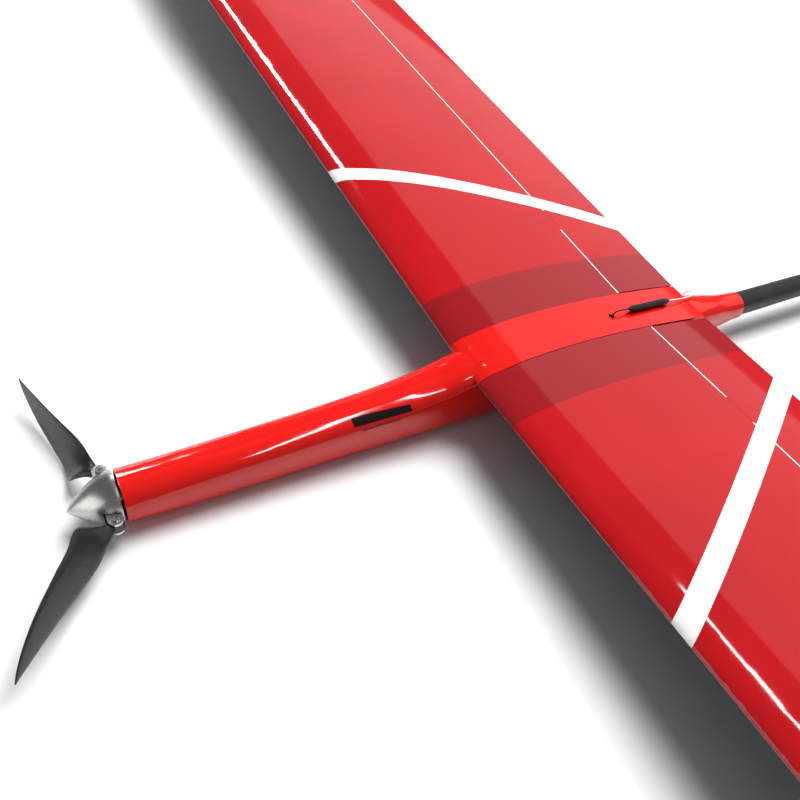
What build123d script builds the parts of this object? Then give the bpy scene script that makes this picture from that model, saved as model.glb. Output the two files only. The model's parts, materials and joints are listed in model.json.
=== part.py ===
from build123d import *
import os
from math import cos, pi, radians, sin, sqrt, tan

# Electric glider with a pod-and-boom fuselage, a two-piece plug-in wing and a V-tail.
# Millimetres. Z is up, the nose points to -Y and +X is the left (port) wing.
# The origin is on the flat of the belly, below the wing root's leading edge.

# --- fuselage pod ---
POD_WALL = 1.2
PROP_AXIS_Z = 19.5          # height of the propeller axis
NOSE_Y = -268.4             # face of the nose ring
NOSE_RADIUS = 19.0
ROOT_HALF_WIDTH = 21.8      # half the width of the saddle between the wing roots
SADDLE_PROUD = 0.4          # how far the saddle stands above the wing skin
SADDLE_FLOOR_Z = 42.0       # top of the pod's inner space under the wing
BELLY_TRIM = 1.0            # depth that the flat of the belly takes off the round section

# --- tail boom ---
BOOM_AXIS_Z = 28.6
BOOM_START_Y = 284.0
NECK_END_Y = 319.0
BOOM_END_Y = 1124.0
BOOM_ROOT_RADIUS = 11.75
BOOM_TAIL_RADIUS = 6.5
BOOM_WALL = 1.1

# --- wing ---
SEMI_SPAN = 1500.0
WING_ROOT_Z = 53.0          # chord line height at the root
ROOT_CHORD = 244.8
ROOT_GAP = 0.2              # seam between saddle and wing panel
BREAK_X = 720.0             # where the flap ends and the aileron starts
BREAK_LE_Y = 1.8
BREAK_CHORD = 236.4
AILERON_END_X = 1392.0
OUTER_LE_Y = 50.0
OUTER_CHORD = 134.0
TIP_LE_Y = 96.0
TIP_CHORD = 62.0
DIHEDRAL = radians(2.9)
FOIL_THICKNESS = 0.082
FOIL_CAMBER = 0.022
CAMBER_PEAK = 0.42
TRAILING_EDGE = 0.8
WING_SKIN = 1.2
ROOT_RIB = 3.0
VOID_START = 0.045          # the hollow's front and back, as shares of the chord
VOID_END = 0.65
HINGE_SHARE = 0.716         # hinge line's place on the chord
SPAR_SHARE = 0.33
SPAR_WIDTH = 30.0
SPAR_END_WIDTH = 12.0
SPAR_END_X = 1300.0

# --- wing joiner and pins ---
JOINER_WIDTH = 20.0
JOINER_HEIGHT = 9.6
JOINER_REACH = 222.0
JOINER_CLEARANCE = 0.05
SLEEVE_WALL = 1.0
PIN_RADIUS = 2.5
PIN_REACH = 32.0
PIN_SHARES = (0.13, 0.66)

# --- control surfaces ---
NOSE_FILL = 0.985           # nose radius as a share of half the thickness at the hinge
HINGE_CLEARANCE = 0.35
END_GAP = 1.5
TOP_GAP = 1.0
BREAK_GAP = 1.5             # half of the open slot between flap and aileron
WIRE_RADIUS = 0.6
WIRE_CLEARANCE = 0.06
LUG_WIDTH = 1.0
LUG_RADIUS = 2.0
LUG_CLEARANCE = 0.4
LUG_REACH = 4.0
LUG_SLOT_BACK = 0.25       # the slot for a lug ends just behind the wire
LEVER_RADIUS = 11.0         # horns and servo arms of the wing
LEVER_WIDTH = 1.6
LEVER_HALF = 2.4
ARM_HUB = 3.2
HORN_DROP = 1.3             # the horn stops this far below the hinge wire
LEVER_LEAN = 25.0           # degrees that the levers lean aft of straight down
ROD_RADIUS = 0.8
ROD_CLEARANCE = 0.08
ROD_OFFSET = 2.2
ROD_LENGTH = 50.0
SURFACES = {"flap": 330.0, "aileron": 930.0}     # where each surface's horn sits

# --- wing servos ---
SERVO_LENGTH = 30.0
SERVO_THICK = 9.4
SERVO_DEPTH = 26.0
SERVO_GAP = 1.4
COVER_MARGIN = 5.0
COVER_CLEARANCE = 0.2

# --- V-tail ---
V_ANGLE = 38.0              # each half's angle above the horizontal
TAIL_LE_Y = 1000.0
TAIL_ROOT_CHORD = 118.0
TAIL_TIP_CHORD = 70.0
TAIL_TIP_SWEEP = 34.0
TAIL_SPAN = 275.0
TAIL_START = 6.0
TAIL_THICKNESS = 0.085
TAIL_VERTEX_Z = 35.0
TAIL_SURFACE_START = 15.0
TAIL_SURFACE_MARGIN = 14.0
TAIL_PIN_RADIUS = 1.5
SADDLE_HALF_WIDTH = 8.2
TAIL_LEVER = 8.0
TAIL_ROD_RADIUS = 1.25

# --- propeller ---
SPINNER_RADIUS = 19.0
SPINNER_LENGTH = 32.0
SPINNER_WALL = 1.3
BACKPLATE = 1.2
SPINNER_GAP = 2.0           # air between backplate and nose ring
SHAFT_RADIUS = 4.0
SHAFT_CLEARANCE = 0.08
PIVOT_X = 21.0
PIVOT_Y = -276.4
PIVOT_PIN_RADIUS = 1.5
PIVOT_CLEARANCE = 0.05
BLADE_ROOT = 8.0            # thickness of the blade root in the yoke's fork
EAR_PLATE = 1.7
EAR_RADIUS = 5.2
BLADE_LENGTH = 113.8        # pivot to tip
PITCH = 203.0               # propeller pitch
SWEEP = {1: 42.8, -1: 16.3}  # forward sweep of the left and right blade as it lies
EYE_RADIUS = 5.2
SLOT_MARGIN = 1.2           # clear space ahead of the yoke in the spinner's slots

# --- inside the pod ---
BULKHEAD_Y = -266.0
BULKHEAD_THICK = 2.5
MOTOR_RADIUS = 16.0
MOTOR_LENGTH = 62.0
MOTOR_PCD = 19.0
HATCH_Y = (-150.0, -40.0)
HATCH_HALF_WIDTH = 11.0
HATCH_CLEARANCE = 0.25
SCREW_RADIUS = 1.25

# --- aerial ---
WIRE_DIAMETER = 1.2
SLEEVE_DIAMETER = 6.0
HOLE_RADIUS = 2.7
AERIAL_ROUTE = [
    (2.6, 145.0, 62.4), (2.6, 145.8, 70.4), (2.4, 154.0, 70.6), (1.9, 163.0, 68.4),
    (1.4, 180.0, 66.5), (0.1, 198.0, 64.3), (-0.6, 217.6, 61.8), (-0.2, 227.0, 60.4),
    (-1.2, 237.0, 58.6), (-2.4, 246.0, 56.6), (-5.0, 254.0, 54.6), (-9.5, 259.5, 52.4),
    (-16.0, 263.0, 48.6), (-20.2, 265.0, 43.0), (-21.8, 266.4, 35.0), (-21.6, 267.0, 27.5),
    (-21.2, 267.4, 20.5),
]
SLEEVE_SPAN = (3, 6)        # route points at the sleeve's two ends


def vec(*xyz):
    return Vector(*xyz)


def closed(points):
    return Wire([Spline(*points, periodic=True)])


def ring(points):
    return Wire(Polyline(*points, close=True).edges())


def rod_between(start, end, radius, end_radius=None):
    direction = end - start
    plane = Plane(origin=start, z_dir=direction)
    if end_radius is None or abs(end_radius - radius) < 1e-6:
        return Solid.make_cylinder(radius, direction.length, plane)
    return Solid.make_cone(radius, end_radius, direction.length, plane)


def box(low, high):
    size = [b - a for a, b in zip(low, high)]
    return Solid.make_box(*size, Plane(origin=low))


def one(shape):
    solids = shape.solids() if hasattr(shape, "solids") else [shape]
    return max(solids, key=lambda s: s.volume)


def cut(shape, *tools):
    for tool in tools:
        shape = one(shape - tool)
    return shape


def fuse(shape, *others):
    for other in others:
        shape = shape + other
    return one(shape)


def mirrored(shape):
    return mirror(shape, about=Plane.YZ)


# --- aerofoil ---------------------------------------------------------------

def camber(s, height):
    if s < CAMBER_PEAK:
        return height / CAMBER_PEAK ** 2 * (2 * CAMBER_PEAK * s - s * s)
    rear = (1 - 2 * CAMBER_PEAK) + 2 * CAMBER_PEAK * s - s * s
    return height / (1 - CAMBER_PEAK) ** 2 * rear


def half_thick(s, thickness):
    series = 0.2969 * sqrt(s) - 0.1260 * s - 0.3516 * s ** 2 + 0.2843 * s ** 3 - 0.1036 * s ** 4
    return 5 * thickness * series


class Foil:
    """One lifting panel: straight between stations of (x, leading edge y, chord)."""

    def __init__(self, stations, root_z, slope, thickness, camber_height):
        self.stations = stations
        self.root_z = root_z
        self.slope = slope
        self.thickness = thickness
        self.camber_height = camber_height

    def place(self, x):
        spans = list(zip(self.stations, self.stations[1:]))
        for (x0, le0, c0), (x1, le1, c1) in spans:
            if x <= x1 or x1 == self.stations[-1][0]:
                t = (x - x0) / (x1 - x0)
                return le0 + t * (le1 - le0), c0 + t * (c1 - c0)

    def height(self, x):
        return self.root_z + self.slope * (x - self.stations[0][0])

    def surface(self, x, s, side):
        le, chord = self.place(x)
        half = half_thick(s, self.thickness) * chord + TRAILING_EDGE / 2 * s
        rise = camber(s, self.camber_height) * chord + side * half
        return vec(x, le + s * chord, self.height(x) + rise)

    def outline(self, x, start=0.0, end=1.0, inset=0.0, lift=0.0, count=13):
        shift = vec(0, 0, lift)
        if start == 0.0:
            shares = [end * (1 - cos(pi * i / (count - 1))) / 2 for i in range(count)]
        else:
            shares = [start + (end - start) * i / (count - 1) for i in range(count)]
        top = [self.surface(x, s, 1) - vec(0, 0, inset) + shift for s in shares]
        low = [self.surface(x, s, -1) + vec(0, 0, inset) for s in shares]
        if start == 0.0:
            low[0] = top[0] = (top[0] + low[0]) / 2
            skin = Spline(*reversed(top), *low[1:])
            return Wire([skin, Line(low[-1], top[-1])])
        edges = [Spline(*reversed(top)), Line(top[0], low[0]), Spline(*low), Line(low[-1], top[-1])]
        return Wire(edges)

    def skin(self, xs):
        return Solid.make_loft([self.outline(x) for x in xs], True)

    def hollow(self, xs, inset):
        wires = [self.outline(x, VOID_START, VOID_END, inset, count=9) for x in xs]
        return Solid.make_loft(wires, True)

    def hinge(self, x, share=HINGE_SHARE):
        top = self.surface(x, share, 1)
        low = self.surface(x, share, -1)
        return (top + low) / 2, (top.Z - low.Z) / 2 * NOSE_FILL

    def block(self, x0, x1, front, low, high, back=90.0):
        wires = []
        for x in (x0, x1):
            centre, _ = self.hinge(x)
            y0, y1 = centre.Y + front, centre.Y + back
            z0, z1 = centre.Z + low, centre.Z + high
            wires.append(ring([vec(x, y0, z0), vec(x, y1, z0), vec(x, y1, z1), vec(x, y0, z1)]))
        return Solid.make_loft(wires, True)


class Surface:
    """A control surface cut out of a panel, with a round nose on its hinge wire."""

    def __init__(self, foil, x0, x1, down, lug_xs):
        self.foil = foil
        self.x0, self.x1 = x0, x1
        self.down = down
        self.lug_xs = lug_xs
        self.start, self.start_radius = foil.hinge(x0)
        self.end, self.end_radius = foil.hinge(x1)
        self.axis = (self.end - self.start).normalized()

    def at(self, x):
        t = (x - self.x0) / (self.x1 - self.x0)
        radius = self.start_radius + t * (self.end_radius - self.start_radius)
        return self.start + (self.end - self.start) * t, radius

    def nose(self, x0, x1, extra):
        (a, ra), (b, rb) = self.at(x0), self.at(x1)
        return rod_between(a, b, ra + extra, rb + extra)

    def cut_from(self, panel):
        rear = self.start_radius * sin(radians(self.down)) + HINGE_CLEARANCE
        above = self.foil.block(self.x0, self.x1, -TOP_GAP, 0, 40)
        below = self.foil.block(self.x0, self.x1, -rear, -40, 0)
        return cut(panel, above, below, self.nose(self.x0, self.x1, HINGE_CLEARANCE))

    def lugs(self):
        solids = []
        for x in self.lug_xs:
            centre, radius = self.at(x)
            front = centre - vec(0, radius + HINGE_CLEARANCE + LUG_REACH, 0)
            half = LUG_WIDTH / 2
            tongue = box((x - half, front.Y, centre.Z - 1.2), (x + half, centre.Y, centre.Z + 1.2))
            eye = Solid.make_cylinder(LUG_RADIUS, LUG_WIDTH, Plane(origin=centre - vec(half, 0, 0), z_dir=(1, 0, 0)))
            solids.append(fuse(tongue, eye))
        return [cut(lug, self.wire()) for lug in solids]

    def wire(self):
        first, _ = self.at(self.lug_xs[0] - LUG_WIDTH / 2)
        last, _ = self.at(self.lug_xs[-1] + LUG_WIDTH / 2)
        return rod_between(first, last, WIRE_RADIUS)

    def moving(self, panel):
        inner, outer = self.x0 + END_GAP, self.x1 - END_GAP
        flap = one(panel & self.foil.block(inner, outer, 0, -40, 40))
        flap = fuse(flap, self.nose(inner, outer, 0))
        bore = rod_between(self.at(inner - 1)[0], self.at(outer + 1)[0], WIRE_RADIUS + WIRE_CLEARANCE)
        flap = cut(flap, bore)
        for x in self.lug_xs[1:-1]:
            half = LUG_WIDTH / 2 + LUG_CLEARANCE
            centre, radius = self.at(x)
            flap = cut(flap, self.foil.block(x - half, x + half, -radius - 1, -40, 40, back=LUG_SLOT_BACK))
            ends = centre - self.axis * half, centre + self.axis * half
            flap = cut(flap, rod_between(*ends, LUG_RADIUS + LUG_CLEARANCE))
        return flap


# --- wing -------------------------------------------------------------------

WING_X = ROOT_HALF_WIDTH + ROOT_GAP
WING = Foil(
    [(WING_X, 0.0, ROOT_CHORD), (BREAK_X, BREAK_LE_Y, BREAK_CHORD),
     (AILERON_END_X, OUTER_LE_Y, OUTER_CHORD), (SEMI_SPAN, TIP_LE_Y, TIP_CHORD)],
    WING_ROOT_Z, tan(DIHEDRAL), FOIL_THICKNESS, FOIL_CAMBER)


def lug_places(x0, x1):
    return [x0 + LUG_WIDTH / 2 + 0.1, (x0 + x1) / 2, x1 - LUG_WIDTH / 2 - 0.1]


FLAP = Surface(WING, WING_X, BREAK_X, 60, lug_places(WING_X, BREAK_X))
AILERON = Surface(WING, BREAK_X, AILERON_END_X, 30, lug_places(BREAK_X, AILERON_END_X))


def lever(pivot, hub_radius):
    """A flat arm that leans aft, drilled for the rod's bent end."""
    lean = radians(LEVER_LEAN)
    pin = pivot + vec(0, LEVER_RADIUS * sin(lean), -LEVER_RADIUS * cos(lean))
    half = vec(LEVER_WIDTH / 2, 0, 0)
    hub = Solid.make_cylinder(hub_radius, LEVER_WIDTH, Plane(origin=pivot - half, z_dir=(1, 0, 0)))
    tip = Solid.make_cylinder(LEVER_HALF, LEVER_WIDTH, Plane(origin=pin - half, z_dir=(1, 0, 0)))
    side = vec(0, cos(lean), sin(lean)) * LEVER_HALF
    corners = [pivot + side, pin + side, pin - side, pivot - side]
    plate = extrude(Face(ring([c - half for c in corners])), LEVER_WIDTH, dir=(1, 0, 0))
    hole = Solid.make_cylinder(ROD_RADIUS + ROD_CLEARANCE, 4 * LEVER_WIDTH,
                               Plane(origin=pin - half * 4, z_dir=(1, 0, 0)))
    return cut(fuse(hub, tip, one(plate)), hole), pin


def rod(pin_a, pin_b):
    """A straight wire with both ends bent sideways through the levers."""
    out = vec(ROD_OFFSET, 0, 0)
    back = vec(LEVER_WIDTH / 2 + 0.6, 0, 0)
    run = rod_between(pin_a + out, pin_b + out, ROD_RADIUS)
    bends = [rod_between(p - back, p + out, ROD_RADIUS) for p in (pin_a, pin_b)]
    knees = [Solid.make_sphere(ROD_RADIUS, Plane(origin=p + out)) for p in (pin_a, pin_b)]
    return fuse(run, *bends, *knees)


def servo(output):
    """A thin wing servo on its side, its shaft along X and its bay around it."""
    right = output.X - LEVER_WIDTH / 2 - SERVO_GAP
    low = (right - SERVO_DEPTH, output.Y - SERVO_LENGTH + 8, output.Z - SERVO_THICK / 2)
    high = (right, output.Y + 8, output.Z + SERVO_THICK / 2)
    case = box(low, high)
    case = case.chamfer(0.8, None, case.edges())
    shaft = rod_between(vec(right - 1, output.Y, output.Z), vec(right + SERVO_GAP - 0.2, output.Y, output.Z), 2.4)
    return fuse(case, shaft), low, high


def build_wing():
    xs = [WING_X, BREAK_X, AILERON_END_X, SEMI_SPAN]
    blank = WING.skin(xs)
    hollow_xs = [WING_X + ROOT_RIB, BREAK_X, AILERON_END_X]
    hollow = WING.hollow(hollow_xs, WING_SKIN)
    spar_box = spar_slab(30.0)
    panel = cut(blank, hollow)
    spar = one(hollow & spar_box)
    panel = FLAP.cut_from(panel)
    panel = AILERON.cut_from(panel)
    centre, radius = FLAP.at(BREAK_X)
    front = centre.Y - radius - 2 * HINGE_CLEARANCE
    panel = cut(panel, box((BREAK_X - BREAK_GAP, front, 0), (BREAK_X + BREAK_GAP, centre.Y + 99, 200)))
    flap = FLAP.moving(blank)
    aileron = AILERON.moving(blank)
    parts = {"flap": flap, "aileron": aileron}
    lugs = FLAP.lugs() + AILERON.lugs()
    panel = cut(panel, *lugs)
    wires = [FLAP.wire(), AILERON.wire()]
    servos, covers = [], []
    for name, x in SURFACES.items():
        surface = FLAP if name == "flap" else AILERON
        centre, radius = surface.at(x)
        output = centre - vec(0, ROD_LENGTH, 0)
        horn, horn_pin = lever(centre, LEVER_HALF)
        horn = cut(horn, box(tuple(centre - vec(5, 9, HORN_DROP)), tuple(centre + vec(5, 9, 9))))
        arm, arm_pin = lever(output, ARM_HUB)
        case, low, high = servo(output)
        parts[name + "_horn"] = horn
        parts[name + "_servo_arm"] = arm
        parts[name + "_pushrod"] = rod(arm_pin, horn_pin)
        parts[name] = cut(parts[name], horn)
        servos.append(case)
        y0, y1 = low[1] - COVER_MARGIN, output.Y + 12 + COVER_MARGIN
        x0, x1 = low[0] - COVER_MARGIN, x + ROD_OFFSET + COVER_MARGIN
        opening = box((x0, y0, output.Z - 30), (x1, y1, output.Z))
        c = COVER_CLEARANCE
        lid = box((x0 + c, y0 + c, output.Z - 30), (x1 - c, y1 - c, output.Z))
        cover = one(cut(blank, hollow) & lid)
        panel = cut(panel, opening)
        slot_y = output.Y + LEVER_RADIUS + 3
        slot = box((x - 1.6, output.Y - 11, output.Z - 30), (x + ROD_OFFSET + 1.6, slot_y, output.Z))
        covers.append(cut(cover, slot))
        notch = box((x - 1.6, centre.Y - 16, centre.Z - 30), (x + ROD_OFFSET + 1.6, centre.Y, centre.Z - 1))
        panel = cut(panel, notch)
        bay = box((low[0] - 0.5, low[1] - 0.5, low[2]), (x + ROD_OFFSET + 1.6, high[1] + 4, high[2]))
        spar = cut(spar, bay) if (spar & bay) else spar
        panel = cut(panel, bay)
    return panel, spar, parts, lugs, wires, servos, covers


def spar_slab(reach):
    """A bar along the spar line, narrower towards the tip and taller than the wing is thick."""
    wires = []
    for x, width in ((WING_X, SPAR_WIDTH), (SPAR_END_X, SPAR_END_WIDTH)):
        centre, _ = WING.hinge(x, SPAR_SHARE)
        y0, y1 = centre.Y - width / 2, centre.Y + width / 2
        z0, z1 = centre.Z - reach, centre.Z + reach
        wires.append(ring([vec(x, y0, z0), vec(x, y1, z0), vec(x, y1, z1), vec(x, y0, z1)]))
    return Solid.make_loft(wires, True)


def joiner_half(width, height, reach):
    """The joiner's port half, from the centreline, as a sheared bar."""
    root, _ = WING.hinge(WING_X, SPAR_SHARE)
    far = vec(reach, root.Y, root.Z + tan(DIHEDRAL) * reach)
    near = vec(0, root.Y, root.Z)
    wires = []
    for p in (near, far):
        y0, y1 = p.Y - width / 2, p.Y + width / 2
        z0, z1 = p.Z - height / 2, p.Z + height / 2
        wires.append(ring([vec(p.X, y0, z0), vec(p.X, y1, z0), vec(p.X, y1, z1), vec(p.X, y0, z1)]))
    return Solid.make_loft(wires, True)


def alignment_pins():
    pins = []
    for share in PIN_SHARES:
        centre, _ = WING.hinge(WING_X, share)
        pins.append(rod_between(vec(-PIN_REACH, centre.Y, centre.Z), vec(PIN_REACH, centre.Y, centre.Z), PIN_RADIUS))
    return pins


# --- pod --------------------------------------------------------------------

# y, half width, bottom, top, squareness of the section, top of the inner space
POD_SECTIONS = [
    (NOSE_Y, NOSE_RADIUS, PROP_AXIS_Z - NOSE_RADIUS, PROP_AXIS_Z + NOSE_RADIUS, 2.0),
    (-250.0, 18.8, -0.3, 38.0, 2.15),
    (-225.0, 18.5, -BELLY_TRIM, 37.8, 2.4),
    (-180.0, 18.5, -BELLY_TRIM, 39.0, 2.6),
    (-130.0, 18.6, -BELLY_TRIM, 40.8, 2.7),
    (-85.0, 19.0, -BELLY_TRIM, 43.4, 2.8),
    (-50.0, 19.7, -BELLY_TRIM, 46.6, 2.9),
    (-24.0, 20.6, -BELLY_TRIM, 51.0, 3.0),
    (-6.0, 21.2, -BELLY_TRIM, 56.0, 3.1),
    (14.0, 21.5, -BELLY_TRIM, 60.2, 3.2),
    (40.0, 21.5, -BELLY_TRIM, 62.4, 3.2),
    (90.0, 21.5, -BELLY_TRIM, 63.4, 3.2),
    (145.0, 21.5, -BELLY_TRIM, 61.4, 3.1),
    (195.0, 21.2, 0.6, 57.8, 3.0),
    (232.0, 20.4, 4.4, 54.4, 2.8),
    (256.0, 18.8, 7.8, 51.2, 2.6),
    (276.0, 16.8, 10.8, 47.6, 2.4),
    (296.0, 14.6, 13.6, 44.0, 2.15),
    (NECK_END_Y, 13.2, BOOM_AXIS_Z - 13.2, BOOM_AXIS_Z + 13.2, 2.0),
]


def pod_ring(y, half_width, bottom, top, power, count=24):
    mid, half = (top + bottom) / 2, (top - bottom) / 2
    points = []
    for i in range(count):
        a = 2 * pi * (i + 0.5) / count
        c, s = cos(a), sin(a)
        reach = (abs(c) ** power + abs(s) ** power) ** (-1 / power)
        points.append(vec(half_width * reach * c, y, mid + half * reach * s))
    return closed(points)


def pod_loft(inset, ceiling=None):
    rings = []
    for y, half_width, bottom, top, power in POD_SECTIONS:
        roof = top - inset
        if ceiling and y > -40:
            roof = min(roof, ceiling)
        rings.append(pod_ring(y, half_width - inset, bottom + inset, roof, power))
    return Solid.make_loft(rings, False)


def build_pod(boom_outer, pins, joiner_bar):
    outer = pod_loft(0.0)
    saddle_wire = WING.outline(WING_X, lift=SADDLE_PROUD)
    saddle = extrude(Face(saddle_wire.translate((-WING_X - ROOT_HALF_WIDTH, 0, 0))), 2 * ROOT_HALF_WIDTH, dir=(1, 0, 0))
    pod = fuse(outer, one(saddle))
    pod = cut(pod, box((-60, NOSE_Y - 5, -20), (60, NECK_END_Y + 5, 0)))
    inner = pod_loft(POD_WALL, SADDLE_FLOOR_Z)
    low_cut = box((-60, NOSE_Y - 20, -20), (60, NECK_END_Y + 20, POD_WALL))
    pod = cut(pod, one(inner - low_cut))
    wires = [WING.outline(WING_X, VOID_START, VOID_END, WING_SKIN, count=9)] * 2
    rib = 1.6
    spans = [-(ROOT_HALF_WIDTH - rib) - WING_X, (ROOT_HALF_WIDTH - rib) - WING_X]
    pocket = Solid.make_loft([w.translate((dx, 0, 0)) for w, dx in zip(wires, spans)], True)
    pod = cut(pod, pocket, joiner_bar, *pins, boom_outer)
    x, y, _ = AERIAL_ROUTE[0]
    hole = Solid.make_cylinder(HOLE_RADIUS, 12, Plane(origin=(x, y, 58)))
    return cut(pod, hole), outer, inner, low_cut


def build_hatch(pod, outer):
    """A piece of the belly skin on two screws, and the lugs that they bite."""
    y0, y1 = HATCH_Y
    w, c = HATCH_HALF_WIDTH, HATCH_CLEARANCE
    opening = box((-w, y0, -5), (w, y1, 6))
    lid = box((-w + c, y0 + c, -5), (w - c, y1 - c, 6))
    hatch = one(pod & lid)
    pod = cut(pod, opening)
    screws, lugs = [], []
    for y in (y0 + 7, y1 - 7):
        shank = Solid.make_cylinder(SCREW_RADIUS, 6.6, Plane(origin=(0, y, 0.8)))
        head = Solid.make_cone(2.6, SCREW_RADIUS, 1.0, Plane(origin=(0, y, 0.3)))
        screw = fuse(shank, head)
        screws.append(screw)
        hatch = cut(hatch, screw, Solid.make_cylinder(2.6, 0.6, Plane(origin=(0, y, -0.3))))
    for y in (y0 + 7, y1 - 7):
        bar = box((-w - 4.5, y - 5, POD_WALL), (w + 4.5, y + 5, POD_WALL + 4.0))
        lugs.append(cut(bar, *screws, pod, hatch))
    return pod, hatch, screws, lugs


# --- propeller --------------------------------------------------------------

def spinner_profile(inset, length, radius):
    """Ogive from base to tip, measured along -Y from the backplate."""
    count = 9
    points = []
    for i in range(count):
        t = i / (count - 1)
        points.append((radius * (1 - t ** 1.75) ** 0.92, t * length))
    return points


BACK_Y = NOSE_Y - SPINNER_GAP
SPINNER_BASE_Y = BACK_Y - BACKPLATE


def revolved(points):
    """Turn a profile of (radius, distance ahead of the spinner's base) round the shaft."""
    outline = [vec(r, SPINNER_BASE_Y - d, PROP_AXIS_Z) for r, d in points]
    foot = vec(0, outline[0].Y, PROP_AXIS_Z)
    tip = vec(0, outline[-1].Y, PROP_AXIS_Z)
    edges = [Spline(*outline), Line(outline[0], foot), Line(foot, tip)]
    if outline[-1].X > 1e-6:
        edges.append(Line(tip, outline[-1]))
    face = Face(Wire(edges))
    return Solid.revolve(face, 360, Axis((0, 0, PROP_AXIS_Z), (0, 1, 0)))


def build_spinner():
    outer = revolved(spinner_profile(0, SPINNER_LENGTH, SPINNER_RADIUS))
    length, radius = SPINNER_LENGTH - 4, SPINNER_RADIUS - SPINNER_WALL
    inner = revolved(spinner_profile(0, length, radius))
    cone = cut(outer, inner)
    half = BLADE_ROOT / 2 + EAR_PLATE + 0.6
    y0, y1 = PIVOT_Y - EAR_RADIUS - SLOT_MARGIN, SPINNER_BASE_Y + 1
    for side in (-1, 1):
        x0, x1 = sorted((side * 9.0, side * 26.0))
        low, high = (x0, y0, PROP_AXIS_Z - half), (x1, y1, PROP_AXIS_Z + half)
        cone = cut(cone, box(low, high))
    plate = rod_between(vec(0, SPINNER_BASE_Y, PROP_AXIS_Z), vec(0, BACK_Y, PROP_AXIS_Z), SPINNER_RADIUS)
    return cone, plate


def build_yoke(shaft):
    """Hub on the shaft with a fork at each end for a blade root."""
    half = BLADE_ROOT / 2 + EAR_PLATE
    y0, y1 = PIVOT_Y - EAR_RADIUS, min(PIVOT_Y + EAR_RADIUS, SPINNER_BASE_Y)
    body = box((-PIVOT_X, y0, PROP_AXIS_Z - half), (PIVOT_X, y1, PROP_AXIS_Z + half))
    hub = rod_between(vec(0, y0 - 3, PROP_AXIS_Z), vec(0, y1, PROP_AXIS_Z), 8.5)
    yoke = fuse(body, hub)
    gap = BLADE_ROOT / 2 + PIVOT_CLEARANCE
    pins = []
    for side in (-1, 1):
        centre = vec(side * PIVOT_X, PIVOT_Y, PROP_AXIS_Z - half)
        ear = Solid.make_cylinder(EAR_RADIUS, 2 * half, Plane(origin=centre))
        ear = cut(ear, box((-40, y1, 0), (40, y1 + 10, 60)))
        yoke = fuse(yoke, ear)
    for side in (-1, 1):
        x0, x1 = sorted((side * (PIVOT_X - EYE_RADIUS - 1.0), side * 40))
        yoke = cut(yoke, box((x0, y0 - 5, PROP_AXIS_Z - gap), (x1, y1 + 5, PROP_AXIS_Z + gap)))
        centre = vec(side * PIVOT_X, PIVOT_Y, PROP_AXIS_Z - half - 0.4)
        pin = Solid.make_cylinder(PIVOT_PIN_RADIUS, 2 * half + 0.4, Plane(origin=centre))
        head_at = vec(side * PIVOT_X, PIVOT_Y, PROP_AXIS_Z + half)
        head = Solid.make_cylinder(2.7, 1.5, Plane(origin=head_at))
        socket = Solid.make_cylinder(1.1, 1.2, Plane(origin=head_at + vec(0, 0, 0.5)))
        pins.append(cut(fuse(pin, head), socket))
    yoke = cut(yoke, shaft, *pins)
    return yoke, pins


# distance from pivot, leading edge, trailing edge, thickness, twist from the pin's plane
BLADE_STATIONS = [
    (2.5, 3.6, -2.4, 7.2, 90), (6.0, 7.6, -2.3, 7.0, 86), (10.0, 12.4, -2.3, 6.2, 76), (14.0, 17.2, -2.6, 5.2, 63),
    (18.0, 20.0, -3.2, 4.4, 51), (24.0, 21.8, -4.6, 3.6, 41), (35.0, 21.0, -5.8, 3.1, 32),
    (48.0, 20.4, -5.0, 2.7, 27), (62.0, 19.6, -3.8, 2.4, 23), (78.0, 17.6, -2.5, 2.0, 20),
    (93.0, 13.6, -1.5, 1.6, 17.5), (104.0, 8.6, -0.8, 1.3, 16), (111.0, 3.6, -0.4, 1.1, 15),
    (BLADE_LENGTH, 0.7, -0.5, 0.8, 15),
]


def blade_section(u, lead, trail, thick, twist, count=12):
    """A lens section across the blade; x runs out from the pivot, -y is forward."""
    chord, mid = lead - trail, (lead + trail) / 2
    b = radians(twist)
    points = []
    for i in range(count + 1):
        a = 2 * pi * i / count
        along = mid + chord / 2 * cos(a)
        up = thick / 2 * sin(a) * (1 + 0.25 * cos(a)) - 0.02 * chord * sin(a) ** 2 * cos(b)
        points.append(vec(u, -along * sin(b) - up * cos(b), along * cos(b) - up * sin(b)))
    half = count // 2
    return Wire([Spline(*points[:half + 1]), Spline(*points[half:])])


def build_blade(side):
    shell = Solid.make_loft([blade_section(*row) for row in BLADE_STATIONS], False)
    half = BLADE_ROOT / 2
    eye = Solid.make_cylinder(EYE_RADIUS, BLADE_ROOT, Plane(origin=(0, 0, -half)))
    blade = fuse(shell, eye)
    bore = Solid.make_cylinder(PIVOT_PIN_RADIUS + PIVOT_CLEARANCE, 20, Plane(origin=(0, 0, -10)))
    blade = cut(blade, bore)
    if side < 0:
        blade = blade.rotate(Axis.Y, 180)
        blade = blade.rotate(Axis.Z, SWEEP[side])
    else:
        blade = blade.rotate(Axis.Z, -SWEEP[side])
    return blade.translate((side * PIVOT_X, PIVOT_Y, PROP_AXIS_Z))


# --- tail -------------------------------------------------------------------

TAIL = Foil(
    [(TAIL_START, TAIL_LE_Y, TAIL_ROOT_CHORD), (TAIL_SPAN, TAIL_LE_Y + TAIL_TIP_SWEEP, TAIL_TIP_CHORD)],
    0.0, 0.0, TAIL_THICKNESS, 0.0)
TAIL_END = TAIL_SPAN - TAIL_SURFACE_MARGIN
RUDDERVATOR = Surface(TAIL, TAIL_SURFACE_START, TAIL_END, 30, lug_places(TAIL_SURFACE_START, TAIL_END))


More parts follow.
